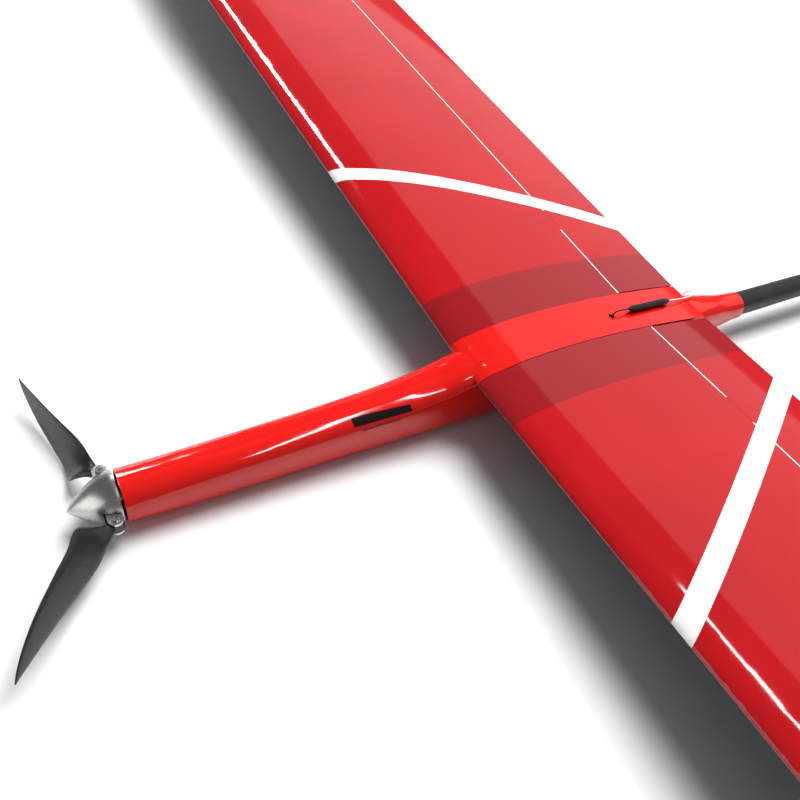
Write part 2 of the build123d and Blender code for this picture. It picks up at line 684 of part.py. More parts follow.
def raised(shape, side=1):
    """Lift a flat half tail to its place in the V."""
    shape = shape.rotate(Axis.Y, -V_ANGLE).translate((0, 0, TAIL_VERTEX_Z))
    return shape if side > 0 else mirrored(shape)


def build_tail(boom_outer):
    rows = [(968, 1.5, BOOM_AXIS_Z + 2, BOOM_AXIS_Z + 9.5), (982, 5.5, BOOM_AXIS_Z, 39.5),
            (1000, SADDLE_HALF_WIDTH, BOOM_AXIS_Z, 43.5), (1030, SADDLE_HALF_WIDTH + 0.8, BOOM_AXIS_Z, 46),
            (1070, SADDLE_HALF_WIDTH + 0.6, BOOM_AXIS_Z, 45.5), (1100, SADDLE_HALF_WIDTH - 0.8, BOOM_AXIS_Z, 43),
            (1120, 5.6, BOOM_AXIS_Z, 40), (1131, 2.0, BOOM_AXIS_Z + 2, 36.5)]
    saddle = Solid.make_loft([pod_ring(y, w, lo, hi, 2.3, 16) for y, w, lo, hi in rows], False)
    saddle = cut(saddle, boom_outer)
    blank = TAIL.skin([TAIL_START, TAIL_SPAN])
    fixed = RUDDERVATOR.cut_from(blank)
    moving = RUDDERVATOR.moving(blank)
    lugs = RUDDERVATOR.lugs()
    fixed = cut(fixed, *lugs)
    pins = []
    for share in (0.22, 0.5):
        centre, _ = TAIL.hinge(TAIL_START, share)
        pins.append(rod_between(vec(5, centre.Y, 0), vec(38, centre.Y, 0), TAIL_PIN_RADIUS))
    fixed = cut(fixed, *pins)
    centre, radius = RUDDERVATOR.at(TAIL_SURFACE_START + 6)
    horn = box((centre.X - 0.8, centre.Y - 2, -TAIL_LEVER - 1.8), (centre.X + 0.8, centre.Y + 2.4, -1.0))
    pin_hole = rod_between(centre - vec(3, 0, TAIL_LEVER), centre + vec(3, 0, -TAIL_LEVER), 0.9)
    moving = fuse(moving, cut(horn, pin_hole))
    notch = box((centre.X - 1.6, centre.Y - 14, -30), (centre.X + 1.6, centre.Y, -0.8))
    fixed = cut(fixed, notch)
    wire = RUDDERVATOR.wire()
    placed = {}
    for side, name in ((1, "left"), (-1, "right")):
        placed["v_tail_" + name] = cut(raised(fixed, side), saddle)
        placed["ruddervator_" + name] = raised(moving, side)
    all_pins = [raised(p, s) for p in pins for s in (1, -1)]
    all_lugs = [raised(p, s) for p in lugs for s in (1, -1)]
    all_wires = [raised(wire, s) for s in (1, -1)]
    saddle = cut(saddle, *all_pins)
    return saddle, placed, all_pins, all_lugs, all_wires


# --- everything together ----------------------------------------------------

def frame_pieces():
    parts = {}
    boom_outer = rod_between(vec(0, BOOM_START_Y, BOOM_AXIS_Z), vec(0, BOOM_END_Y, BOOM_AXIS_Z),
                             BOOM_ROOT_RADIUS, BOOM_TAIL_RADIUS)
    boom_bore = rod_between(vec(0, BOOM_START_Y - 1, BOOM_AXIS_Z), vec(0, BOOM_END_Y + 1, BOOM_AXIS_Z),
                            BOOM_ROOT_RADIUS - BOOM_WALL, BOOM_TAIL_RADIUS - BOOM_WALL)
    pins = alignment_pins()
    half = joiner_half(JOINER_WIDTH, JOINER_HEIGHT, JOINER_REACH)
    parts["wing_joiner"] = fuse(half, mirrored(half))
    c = 2 * JOINER_CLEARANCE
    slot_half = joiner_half(JOINER_WIDTH + c, JOINER_HEIGHT + c, JOINER_REACH + 1)
    slot = fuse(slot_half, mirrored(slot_half))
    pod, outer, inner, low_cut = build_pod(boom_outer, pins, slot)
    pod, hatch, screws, lugs = build_hatch(pod, outer)
    parts.update(fuselage_pod=pod, battery_hatch=hatch, hatch_screws=screws, hatch_lugs=lugs)
    parts["tail_boom"] = cut(boom_outer, boom_bore)
    parts["alignment_pins"] = pins

    panel, spar, wing_parts, wing_lugs, wires, servos, covers = build_wing()
    skin = 2 * (JOINER_CLEARANCE + SLEEVE_WALL)
    sleeve_outer = joiner_half(JOINER_WIDTH + skin, JOINER_HEIGHT + skin, JOINER_REACH + 2)
    sleeve = cut(sleeve_outer, slot_half, box((-1, -50, 0), (WING_X, 300, 100)))
    panel = cut(panel, sleeve_outer, *pins)
    spar = cut(spar, sleeve_outer)
    parts["wing_left"] = panel
    parts["wing_right"] = mirrored(panel)
    parts["wing_spars"] = [spar, mirrored(spar)]
    parts["joiner_sleeves"] = [sleeve, mirrored(sleeve)]
    for name, solid in wing_parts.items():
        parts[name + "_left"] = solid
        parts[name + "_right"] = mirrored(solid)
    parts["wing_servos"] = servos + [mirrored(s) for s in servos]
    parts["servo_covers"] = covers + [mirrored(s) for s in covers]

    saddle, placed, tail_pins, tail_lugs, tail_wires = build_tail(boom_outer)
    parts["v_tail_saddle"] = saddle
    parts.update(placed)
    parts["v_tail_pins"] = tail_pins
    parts["hinge_wires"] = wires + [mirrored(w) for w in wires] + tail_wires
    parts["hinge_lugs"] = wing_lugs + [mirrored(g) for g in wing_lugs] + tail_lugs
    return parts


def power_pieces():
    parts = {}
    z = PROP_AXIS_Z
    shaft = rod_between(vec(0, PIVOT_Y - 9, z), vec(0, BULKHEAD_Y + BULKHEAD_THICK, z), SHAFT_RADIUS)
    parts["motor_shaft"] = shaft
    cone, plate = build_spinner()
    yoke, blade_pins = build_yoke(shaft)
    parts["spinner_cone"] = cone
    parts["spinner_backplate"] = cut(plate, shaft)
    parts["prop_yoke"] = yoke
    parts["blade_pins"] = blade_pins
    parts["blade_left"] = build_blade(1)
    parts["blade_right"] = build_blade(-1)
    y0, y1 = BULKHEAD_Y, BULKHEAD_Y + BULKHEAD_THICK
    bulkhead = rod_between(vec(0, y0, z), vec(0, y1, z), NOSE_RADIUS - POD_WALL - 0.4)
    bulkhead = cut(bulkhead, rod_between(vec(0, y0 - 1, z), vec(0, y1 + 1, z), SHAFT_RADIUS + 1.0))
    screws = []
    for i in range(4):
        a = pi / 4 + i * pi / 2
        at = vec(MOTOR_PCD / 2 * cos(a), y0, z + MOTOR_PCD / 2 * sin(a))
        head = rod_between(at - vec(0, 1.6, 0), at, 2.6)
        hexagon = rod_between(at - vec(0, 1.7, 0), at - vec(0, 0.7, 0), 1.2)
        screws.append(cut(fuse(head, rod_between(at, at + vec(0, 6, 0), 1.4)), hexagon))
    parts["motor_screws"] = screws
    parts["motor_bulkhead"] = cut(bulkhead, *screws)
    motor = rod_between(vec(0, y1, z), vec(0, y1 + MOTOR_LENGTH, z), MOTOR_RADIUS)
    motor = cut(motor, *screws)
    parts["motor_case"] = motor
    return parts


def radio_pieces():
    parts = {}
    z = PROP_AXIS_Z
    esc = box((-12, -196, z - 5), (12, -158, z + 6))
    parts["speed_controller"] = esc.chamfer(1.2, None, esc.edges())
    pack = box((-13.5, -152, 8.6), (13.5, -36, 34.6))
    parts["battery_pack"] = pack.fillet(3.0, pack.edges().filter_by(Axis.Y))
    receiver = box((-11, 84, 12), (11, 128, 26))
    parts["receiver"] = receiver.fillet(1.2, receiver.edges())
    tray = box((-19.0, -24, 14), (19.0, 40, 16))
    servos = []
    for side in (1, -1):
        x = side * 9.0
        case = box((x - 5.5, -14, 8.0), (x + 5.5, 15, 30.0))
        ears = box((x - 5.5, -18, 16.0), (x + 5.5, 19, 17.4))
        post = Solid.make_cylinder(2.6, 3.0, Plane(origin=(x, 8, 29.5)))
        servos.append(fuse(case, ears, post))
        tray = cut(tray, box((x - 5.8, -14.3, 10), (x + 5.8, 15.3, 20)))
        name = "left" if side > 0 else "right"
        hub = Solid.make_cylinder(3.6, 1.6, Plane(origin=(x, 8, 32.6)))
        tip = Solid.make_cylinder(2.0, 1.6, Plane(origin=(side * (9.0 - TAIL_LEVER) + side * 1.6, 8, 32.6)))
        bar = box(sorted_pair(x, 6.0, 32.6, side * (9.0 - TAIL_LEVER), 10.0, 34.2)[0],
                  sorted_pair(x, 6.0, 32.6, side * (9.0 - TAIL_LEVER), 10.0, 34.2)[1])
        parts["tail_servo_arm_" + name] = fuse(hub, tip, bar)
    parts["servo_tray"] = tray
    parts["tail_servos"] = servos
    rods = tail_rods()
    parts.update(rods)
    return parts


def sorted_pair(x0, y0, z0, x1, y1, z1):
    low = (min(x0, x1), min(y0, y1), min(z0, z1))
    high = (max(x0, x1), max(y0, y1), max(z0, z1))
    return low, high


def tail_rods():
    """Carbon rods from the tail servos through the boom."""
    parts = {}
    for side, name in ((1, "left"), (-1, "right")):
        start = vec(side * 2.2, 9, 36.2)
        end = vec(side * 2.4, 1078, BOOM_AXIS_Z)
        parts["tail_pushrod_" + name] = rod_between(start, end, TAIL_ROD_RADIUS)
    return parts


def aerial_pieces():
    points = [vec(*p) for p in AERIAL_ROUTE]
    radii, length = [], 0.0
    for a, b, c in zip(points, points[1:], points[2:]):
        turn = radians((b - a).get_angle(c - b))
        shorter = min((b - a).length, (c - b).length)
        radii.append(0.45 * shorter / tan(turn / 2))
    path = FilletPolyline(*points, radius=radii)
    wire = Wire(path.edges()) if not isinstance(path, Wire) else path
    start = Plane(origin=points[0], z_dir=points[1] - points[0])
    disc = Face(Wire([Edge.make_circle(WIRE_DIAMETER / 2, start)]))
    tube = one(sweep(disc, path=wire))
    print("aerial radii", [round(r, 1) for r in radii])
    print("aerial length", round(wire.length, 1), "volume ratio",
          round(tube.volume / (pi * WIRE_DIAMETER ** 2 / 4 * wire.length), 4))
    first, last = points[SLEEVE_SPAN[0]], points[SLEEVE_SPAN[1]]
    sleeve = cut(rod_between(first, last, SLEEVE_DIAMETER / 2), tube)
    return {"aerial_wire": tube, "aerial_sleeve": sleeve}


def main():
    os.makedirs("parts", exist_ok=True)
    parts = {}
    for build in (frame_pieces, power_pieces, radio_pieces, aerial_pieces):
        parts.update(build())
    for name, shape in parts.items():
        if isinstance(shape, list):
            shape = Compound(children=[one(s) for s in shape])
        export_step(shape, "parts/" + name + ".step")
    print(len(parts), "nodes")


main()
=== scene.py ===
import json
import math

import bmesh
import bpy
from mathutils import Matrix, Vector, noise

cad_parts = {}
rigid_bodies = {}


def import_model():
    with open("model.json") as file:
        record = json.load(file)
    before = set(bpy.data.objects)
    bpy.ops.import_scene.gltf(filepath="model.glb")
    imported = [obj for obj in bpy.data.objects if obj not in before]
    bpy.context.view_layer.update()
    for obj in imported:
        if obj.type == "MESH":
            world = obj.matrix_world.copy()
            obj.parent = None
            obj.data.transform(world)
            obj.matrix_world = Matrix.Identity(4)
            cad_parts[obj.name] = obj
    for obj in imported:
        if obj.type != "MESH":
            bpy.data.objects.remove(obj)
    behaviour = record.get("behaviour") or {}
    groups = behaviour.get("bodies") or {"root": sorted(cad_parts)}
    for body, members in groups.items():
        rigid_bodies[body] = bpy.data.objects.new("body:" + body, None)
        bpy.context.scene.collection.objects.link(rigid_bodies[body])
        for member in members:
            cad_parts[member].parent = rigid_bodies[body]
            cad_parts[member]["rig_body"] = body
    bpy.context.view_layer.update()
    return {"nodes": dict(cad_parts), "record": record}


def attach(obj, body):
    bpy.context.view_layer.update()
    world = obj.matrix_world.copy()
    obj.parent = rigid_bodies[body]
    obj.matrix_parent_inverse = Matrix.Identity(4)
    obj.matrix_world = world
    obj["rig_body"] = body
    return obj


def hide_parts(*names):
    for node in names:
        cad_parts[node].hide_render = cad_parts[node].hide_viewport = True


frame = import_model()

# Metres. Z is up, the nose points to -Y and +X is the left wing.

# The camera looks down and aft over the nose from ahead of the left wing.
CAMERA_AT = Vector((0.33358, -0.3056, 0.48028))
CAMERA_AIM = Vector((0.014456, -0.064725, 0.053))
CAMERA_ROLL = 0.2168                # radians
CAMERA_LENS = 35.406                # mm, on a sensor of SENSOR_WIDTH
SENSOR_WIDTH = 36.0
CAMERA_NEAR = 0.01

# Lamps: name, place, aim, length, width, watts, heading in degrees. The window lights the
# object, and the others show only in its shine.
WINDOW = ("window", (-1.25, 1.55, 3.15), (0, 0, 0), 2.5, 2.5, 245, 0.0)
SHINE_LAMPS = [
    ("ceiling_behind", (-1.5, 3.5, 2.2), (-1.5, 3.5, 0), 9.0, 5.0, 90, 0.0),
    ("tube_near", (0.5, 0.31, 2.0), (0.5, 0.31, 0), 1.7, 0.06, 10, -5.7),
    ("window_low", (-6.0, 1.1, 0.42), (0, 1.1, 0.42), 2.6, 0.10, 18, 0.0),
    ("wall_ahead", (0.6, -3.0, 1.2), (0, -0.28, 0), 3.0, 2.0, 32, 0.0),
    ("tube_far", (-3.1, 0.06, 2.0), (-3.1, 0.06, 0), 2.1, 0.16, 30, 0.0),
]
ROOM_COLOUR = "F2F5FA"
ROOM_STRENGTH = 0.19
TABLE_HALF_SIZE = 8.0
TABLE_DROP = 0.0004                 # the table stays this far below the pod's belly

# Aerial: the route of the plain tube in the frame.
AERIAL_ROUTE = [
    (0.0026, 0.1450, 0.0624), (0.0026, 0.1458, 0.0704), (0.0024, 0.1540, 0.0706),
    (0.0019, 0.1630, 0.0684), (0.0014, 0.1800, 0.0665), (0.0001, 0.1980, 0.0643),
    (-0.0006, 0.2176, 0.0618), (-0.0002, 0.2270, 0.0604), (-0.0012, 0.2370, 0.0586),
    (-0.0024, 0.2460, 0.0566), (-0.0050, 0.2540, 0.0546), (-0.0095, 0.2595, 0.0524),
    (-0.0160, 0.2630, 0.0486), (-0.0202, 0.2650, 0.0430), (-0.0218, 0.2664, 0.0350),
    (-0.0216, 0.2670, 0.0275), (-0.0212, 0.2674, 0.0205),
]
AERIAL_DIAMETER = 0.0012
SLEEVE_FRONT_Y = 0.1640
SLEEVE_REAR_Y = 0.2168
SLEEVE_RADIUS = 0.0026
SLEEVE_END_SHARE = 0.42             # how thick its ends are beside its middle
SLEEVE_SWELL = 6
SLEEVE_LUMPS = [(420, 0.00035), (1100, 0.00018)]     # lumps as how many to a metre, and how high
WHITE_FROM_Y = 0.190

# Wing: stations of (x, leading edge y, chord), from root to tip.
WING_STATIONS = [
    (0.022, 0.0, 0.2448),
    (0.72, 0.0018, 0.2364),
    (1.392, 0.05, 0.134),
    (1.5, 0.096, 0.062),
]
WING_ROOT_Z = 0.053
WING_RISE = math.tan(math.radians(2.9))
WING_THICKNESS = 0.082
WING_CAMBER = 0.022
CAMBER_PEAK = 0.42
TRAILING_EDGE = 0.0008
HINGE_SHARE = 0.716
SKIN_STEP = 0.004                   # a short step round the aerofoil, for the skin's slope
SPAN_STEP = 0.001                   # and one along the span

# Pod: sections of (y, half width, bottom, top, power of the rounded outline).
POD_SECTIONS = [
    (-0.2684, 0.0190, 0.0005, 0.0385, 2.0), (-0.2500, 0.0188, -0.0003, 0.0380, 2.15),
    (-0.2250, 0.0185, -0.0010, 0.0378, 2.4), (-0.1800, 0.0185, -0.0010, 0.0390, 2.6),
    (-0.1300, 0.0186, -0.0010, 0.0408, 2.7), (-0.0850, 0.0190, -0.0010, 0.0434, 2.8),
    (-0.0500, 0.0197, -0.0010, 0.0466, 2.9), (-0.0240, 0.0206, -0.0010, 0.0510, 3.0),
    (-0.0060, 0.0212, -0.0010, 0.0560, 3.1), (0.0140, 0.0215, -0.0010, 0.0602, 3.2),
    (0.0400, 0.0215, -0.0010, 0.0624, 3.2), (0.0900, 0.0215, -0.0010, 0.0634, 3.2),
    (0.1450, 0.0215, -0.0010, 0.0614, 3.1), (0.1950, 0.0212, 0.0006, 0.0578, 3.0),
    (0.2320, 0.0204, 0.0044, 0.0544, 2.8), (0.2560, 0.0188, 0.0078, 0.0512, 2.6),
    (0.2760, 0.0168, 0.0108, 0.0476, 2.4), (0.2960, 0.0146, 0.0136, 0.0440, 2.15),
    (0.3190, 0.0132, 0.0154, 0.0418, 2.0),
]
SADDLE_PROUD = 0.0004
SADDLE_REACH = 0.00025              # a point this close to the saddle's height is on it
POD_STEP = 0.0003                   # a short step, for the pod's slope
POD_SEAM_HALF = 0.00018
POD_SEAM_FROM_Z = 0.030
POD_SEAM_STRENGTH = 0.45

# Paint on the wing
# Each edge of the stripe: its x at the leading edge, and how fast it runs inwards.
STRIPE_INNER = (0.2438, 0.566)
STRIPE_OUTER = (0.2620, 0.556)
ROOT_BAND = 0.070
SEAM_TURN = 0.07                    # how far the skin turns across the seam of the leading edge
SEAM_AHEAD = -0.9                   # the seam is where the skin faces ahead more than this
SEAM_STRENGTH = 0.5
SEAL_RUNS = [(0.0228, 0.1135), (0.1425, 0.7175), (0.7225, 1.390)]
SEAL_WIDTH = 0.0013
SEAL_AHEAD = 0.0015                 # its middle, ahead of the hinge line
SEAL_LIFT = 0.00006
SEAL_THICKNESS = 0.00005

# Smooth copies
WELD = 1e-6
SHORTEST_EDGE = 1e-5
FOLD = 25.0                         # degrees: edges that fold by more stay crisp
SAME_SKIN = 0.93                    # a face whose direction agrees by this much lies on the skin

# Patterns
TAPE_PITCH = 0.0035                 # rings that the winding tape leaves on the boom
LATHE_PITCH = 0.0007
WEAVE_SIZE = 0.002
WEAVE_SHARE = 0.35

# Mark on the pod's side: a bar and a line, each as (middle y, half length, middle z, half height),
# in directions that slant with the letters' stems and climb with the pod's shoulder.
MARK_SLANT = 0.25
MARK_SIDE = 0.003                   # it starts this far to the left of the middle
MARK_CLIMB = -0.035
MARK_BAR = (-0.0673, 0.0242, 0.0426, 0.0023)
MARK_LINE = (-0.0705, 0.0160, 0.0367, 0.0007)


# --- small helpers ----------------------------------------------------------

def linear(code):
    """An sRGB hex colour as linear values."""
    parts = [int(code[i:i + 2], 16) / 255 for i in (0, 2, 4)]
    return (*[p / 12.92 if p <= 0.04045 else ((p + 0.055) / 1.055) ** 2.4 for p in parts], 1.0)


def add(tree, kind, settings=None, **inputs):
    """One node with its settings. An input's value is set, and a socket or node is linked to it."""
    node = tree.nodes.new("ShaderNode" + kind)
    for key, value in (settings or {}).items():
        setattr(node, key, value)
    for key, value in inputs.items():
        target = node.inputs[int(key[1:])] if key[1:].isdigit() else node.inputs[key.replace("_", " ")]
        if isinstance(value, bpy.types.Node):
            value = value.outputs[0]
        if isinstance(value, bpy.types.NodeSocket):
            tree.links.new(value, target)
        else:
            target.default_value = value
    return node


def start(name, colour, roughness, metallic=0.0, **more):
    """A new material with its shader's constants set, its tree, shader and place in the object."""
    material = bpy.data.materials.new(name)
    material.use_nodes = True
    tree = material.node_tree
    tree.nodes.clear()
    shader = add(tree, "BsdfPrincipled", Base_Color=linear(colour), Roughness=roughness,
                 Metallic=metallic, **more)
    add(tree, "OutputMaterial", Surface=shader)
    place = add(tree, "TexCoord").outputs["Object"]
    return material, tree, shader, place


def weathered(tree, shader, place, colours, mottle, grain, roughness, height, stretch=(1, 1, 1)):
    """Lets colour wander between two shades over patches, and roughness and surface over grains."""
    mapped = add(tree, "Mapping", Vector=place, Scale=stretch)
    cloud = add(tree, "TexNoise", Vector=mapped, Scale=0.5 / mottle, Detail=3.0)
    share = add(tree, "MapRange", _0=cloud.outputs["Fac"], _1=0.3, _2=0.7)
    tint = add(tree, "Mix", {"data_type": "RGBA"}, _0=share, _6=linear(colours[0]), _7=linear(colours[1]))
    fine = add(tree, "TexNoise", Vector=mapped, Scale=0.5 / grain, Detail=2.0)
    dull = add(tree, "MapRange", _0=fine.outputs["Fac"], _1=0.3, _2=0.7, _3=roughness[0], _4=roughness[1])
    tree.links.new(tint.outputs[2], shader.inputs["Base Color"])
    tree.links.new(dull.outputs[0], shader.inputs["Roughness"])
    bump = add(tree, "Bump", Height=fine.outputs["Fac"], Distance=height)
    tree.links.new(bump.outputs[0], shader.inputs["Normal"])
    return tint.outputs[2], bump


# --- materials --------------------------------------------------------------

def gelcoat(name, light, deep):
    # Polyester gelcoat, sprayed into a polished mould: solid colour, high gloss, faint orange peel.
    material, tree, shader, place = start(name, light, 0.06, IOR=1.5)
    tint, _ = weathered(tree, shader, place, (light, deep), 0.05, 0.003, (0.045, 0.075), 0.000003)
    return material, tree, shader, place, tint


def pod_gelcoat():
    material, tree, shader, place, tint = gelcoat("gelcoat_scarlet", "E3160F", "DB1410")
    axes = add(tree, "SeparateXYZ", Vector=place)
    side = add(tree, "Math", {"operation": "ABSOLUTE"}, _0=axes.outputs[0])
    # The two mould halves leave a hairline along the middle of the back.
    seam = add(tree, "Math", {"operation": "LESS_THAN"}, _0=side, _1=POD_SEAM_HALF)
    upper = add(tree, "Math", {"operation": "GREATER_THAN"}, _0=axes.outputs[2], _1=POD_SEAM_FROM_Z)
    seam = add(tree, "Math", {"operation": "MULTIPLY"}, _0=seam, _1=upper)
    faint = add(tree, "Math", {"operation": "MULTIPLY"}, _0=seam, _1=POD_SEAM_STRENGTH)
    lined = add(tree, "Mix", {"data_type": "RGBA"}, _0=faint, _6=tint, _7=linear("8A1410"))
    # One plain slanted bar, with a thin line under it, stands where the maker's lettering would be.
    along = add(tree, "Math", {"operation": "MULTIPLY_ADD"},
                _0=axes.outputs[2], _1=MARK_SLANT, _2=axes.outputs[1])
    level = add(tree, "Math", {"operation": "MULTIPLY_ADD"},
                _0=axes.outputs[1], _1=MARK_CLIMB, _2=axes.outputs[2])
    patches = []
    for middle_y, half_y, middle_z, half_z in (MARK_BAR, MARK_LINE):
        inside_y = add(tree, "Math", {"operation": "COMPARE"}, _0=along, _1=middle_y, _2=half_y)
        inside_z = add(tree, "Math", {"operation": "COMPARE"}, _0=level, _1=middle_z, _2=half_z)
        patches.append(add(tree, "Math", {"operation": "MULTIPLY"}, _0=inside_y, _1=inside_z))
    mark = add(tree, "Math", {"operation": "MAXIMUM"}, _0=patches[0], _1=patches[1])
    flank = add(tree, "Math", {"operation": "GREATER_THAN"}, _0=axes.outputs[0], _1=MARK_SIDE)
    mark = add(tree, "Math", {"operation": "MULTIPLY"}, _0=mark, _1=flank)
    marked = add(tree, "Mix", {"data_type": "RGBA"}, _0=mark, _6=lined.outputs[2], _7=linear("1A0C0C"))
    tree.links.new(marked.outputs[2], shader.inputs["Base Color"])
    return material


def wing_gelcoat():
    material, tree, shader, place, tint = gelcoat("gelcoat_cherry_and_white", "BC0D16", "B20C15")
    axes = add(tree, "SeparateXYZ", Vector=place)
    side = add(tree, "Math", {"operation": "ABSOLUTE"}, _0=axes.outputs[0])
    # Carbon under the paint darkens a band beside the root.
    band = add(tree, "Math", {"operation": "LESS_THAN"}, _0=side, _1=ROOT_BAND)
    dark = add(tree, "Mix", {"data_type": "RGBA"}, _0=band, _6=tint, _7=linear("96121B"))
    # A white stripe runs inwards as it goes aft, a mirror image on each wing.
    inner = add(tree, "Math", {"operation": "MULTIPLY_ADD"}, _0=axes.outputs[1], _1=STRIPE_INNER[1], _2=side)
    outer = add(tree, "Math", {"operation": "MULTIPLY_ADD"}, _0=axes.outputs[1], _1=STRIPE_OUTER[1], _2=side)
    past = add(tree, "Math", {"operation": "GREATER_THAN"}, _0=inner, _1=STRIPE_INNER[0])
    before = add(tree, "Math", {"operation": "LESS_THAN"}, _0=outer, _1=STRIPE_OUTER[0])
    stripe = add(tree, "Math", {"operation": "MULTIPLY"}, _0=past, _1=before)
    painted = add(tree, "Mix", {"data_type": "RGBA"}, _0=stripe, _6=dark.outputs[2], _7=linear("F3F2EF"))
    # The underside is a very dark blue, and a pale hairline marks the mould seam along the leading edge.
    facing = add(tree, "SeparateXYZ", Vector=add(tree, "TexCoord").outputs["Normal"])
    under = add(tree, "Math", {"operation": "LESS_THAN"}, _0=facing.outputs[2], _1=-SEAM_TURN)
    two = add(tree, "Mix", {"data_type": "RGBA"}, _0=under, _6=painted.outputs[2], _7=linear("14161F"))
    level = add(tree, "Math", {"operation": "COMPARE"}, _0=facing.outputs[2], _1=0.0, _2=SEAM_TURN)
    ahead = add(tree, "Math", {"operation": "LESS_THAN"}, _0=facing.outputs[1], _1=SEAM_AHEAD)
    seam = add(tree, "Math", {"operation": "MULTIPLY"}, _0=level, _1=ahead)
    faint = add(tree, "Math", {"operation": "MULTIPLY"}, _0=seam, _1=SEAM_STRENGTH)
    lined = add(tree, "Mix", {"data_type": "RGBA"}, _0=faint, _6=two.outputs[2], _7=linear("E9C9C6"))
    tree.links.new(lined.outputs[2], shader.inputs["Base Color"])
    return material


def plain_gelcoat(name, light, deep):
    return gelcoat(name, light, deep)[0]


def carbon_tube():
    # Wrapped carbon tube, left matt from its winding tape: near black, with fine rings across it.
    material, tree, shader, place = start("wound_carbon", "16181A", 0.5, IOR=1.5)
    _, bump = weathered(tree, shader, place, ("121315", "1F2224"), 0.006, 0.0012, (0.42, 0.6), 0.00003)
    axes = add(tree, "SeparateXYZ", Vector=place)
    turn = add(tree, "Math", {"operation": "MULTIPLY"}, _0=axes.outputs[1], _1=2 * math.pi / TAPE_PITCH)
    tape = add(tree, "Math", {"operation": "SINE"}, _0=turn)
    rings = add(tree, "Bump", Height=tape, Distance=0.000012, Normal=bump)
    tree.links.new(rings.outputs[0], shader.inputs["Normal"])
    return material


def woven_carbon():
    # Moulded carbon cloth, satin from its mould: dark slate, with a 1 mm weave that hardly shows.
    material, tree, shader, place = start("moulded_carbon", "181B20", 0.34, IOR=1.5)
    tint, _ = weathered(tree, shader, place, ("13161A", "1D2127"), 0.012, 0.002, (0.26, 0.38), 0.000002)
    weave = add(tree, "TexChecker", Vector=place, Scale=1 / WEAVE_SIZE,
                Color1=linear("15181C"), Color2=linear("20242A"))
    mixed = add(tree, "Mix", {"data_type": "RGBA"}, _0=WEAVE_SHARE, _6=tint, _7=weave.outputs[0])
    tree.links.new(mixed.outputs[2], shader.inputs["Base Color"])
    return material


def turned_aluminium():
    # Aluminium turned on a lathe and left satin: soft light, with fine rings round its axis.
    material, tree, shader, place = start("turned_aluminium", "B9B8B4", 0.3, 1.0, Anisotropic=0.7)
    _, bump = weathered(tree, shader, place, ("B7B6B2", "C2C1BD"), 0.010, 0.0015, (0.26, 0.34), 0.0000006)
    turned = add(tree, "Tangent", {"direction_type": "RADIAL", "axis": "Y"})
    tree.links.new(turned.outputs[0], shader.inputs["Tangent"])
    axes = add(tree, "SeparateXYZ", Vector=place)
    turn = add(tree, "Math", {"operation": "MULTIPLY"}, _0=axes.outputs[1], _1=2 * math.pi / LATHE_PITCH)
    groove = add(tree, "Math", {"operation": "SINE"}, _0=turn)
    rings = add(tree, "Bump", Height=groove, Distance=0.000003, Normal=bump)
    tree.links.new(rings.outputs[0], shader.inputs["Normal"])
    return material


def metal(name, light, dark, rough, grain=0.0012, height=0.000008):
    # Bare metal from a mill or die: its tool marks only break the shine a little.
    material, tree, shader, place = start(name, light, rough, 1.0)
    weathered(tree, shader, place, (light, dark), 0.006, grain, (rough - 0.06, rough + 0.08), height)
    return material


def plastic(name, light, dark, rough, grain=0.001, height=0.00002, stretch=(1, 1, 1), **more):
    # Moulded, laid-up or sawn stuff with an even colour that wanders slightly, and a grain of its own.
    material, tree, shader, place = start(name, light, rough, **more)
    weathered(tree, shader, place, (light, dark), 0.012, grain, (rough - 0.06, rough + 0.08), height, stretch)
    return material


def aerial_insulation():
    # PTFE and PVC covered wire: black from the hole to the sleeve, and white behind it.
    material, tree, shader, place = start("wire_insulation", "151515", 0.4, IOR=1.46)
    tint, _ = weathered(tree, shader, place, ("141414", "1C1C1C"), 0.006, 0.0006, (0.34, 0.46), 0.00001)
    axes = add(tree, "SeparateXYZ", Vector=place)
    behind = add(tree, "Math", {"operation": "GREATER_THAN"}, _0=axes.outputs[1], _1=WHITE_FROM_Y)
    two = add(tree, "Mix", {"data_type": "RGBA"}, _0=behind, _6=tint, _7=linear("F1EEE8"))
    tree.links.new(two.outputs[2], shader.inputs["Base Color"])
    return material


